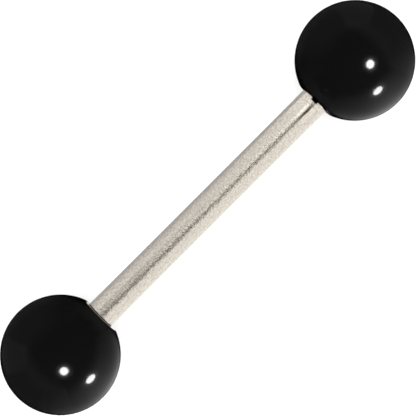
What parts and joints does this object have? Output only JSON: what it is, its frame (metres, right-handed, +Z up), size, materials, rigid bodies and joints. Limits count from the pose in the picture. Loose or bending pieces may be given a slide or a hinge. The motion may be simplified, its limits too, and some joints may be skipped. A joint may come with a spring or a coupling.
{
  "type": "tongue barbell",
  "caption": "Straight externally threaded steel post with a glossy black acrylic ball screwed onto each end.",
  "frame": {"origin": "middle of the post's plain shank, on its axis", "axes": "+X along the post towards the right ball, +Z up from the surface that the barbell lies on"},
  "size_m": [0.0282, 0.0064, 0.0064],
  "materials": {
    "surgical_steel": "fine satin, drawn and blasted rod",
    "black_acrylic": "polished high gloss"
  },
  "bodies": {
    "post": {"post": "surgical_steel"},
    "left_ball": {"left_ball": "black_acrylic"},
    "right_ball": {"right_ball": "black_acrylic"}
  },
  "joints": [
    {"name": "left_ball_screw", "type": "slide", "parent": "post", "child": "left_ball", "axis": [-1, 0, 0], "range_m": [0, 0.02]},
    {"name": "right_ball_screw", "type": "slide", "parent": "post", "child": "right_ball", "axis": [1, 0, 0], "range_m": [0, 0.02]}
  ]
}
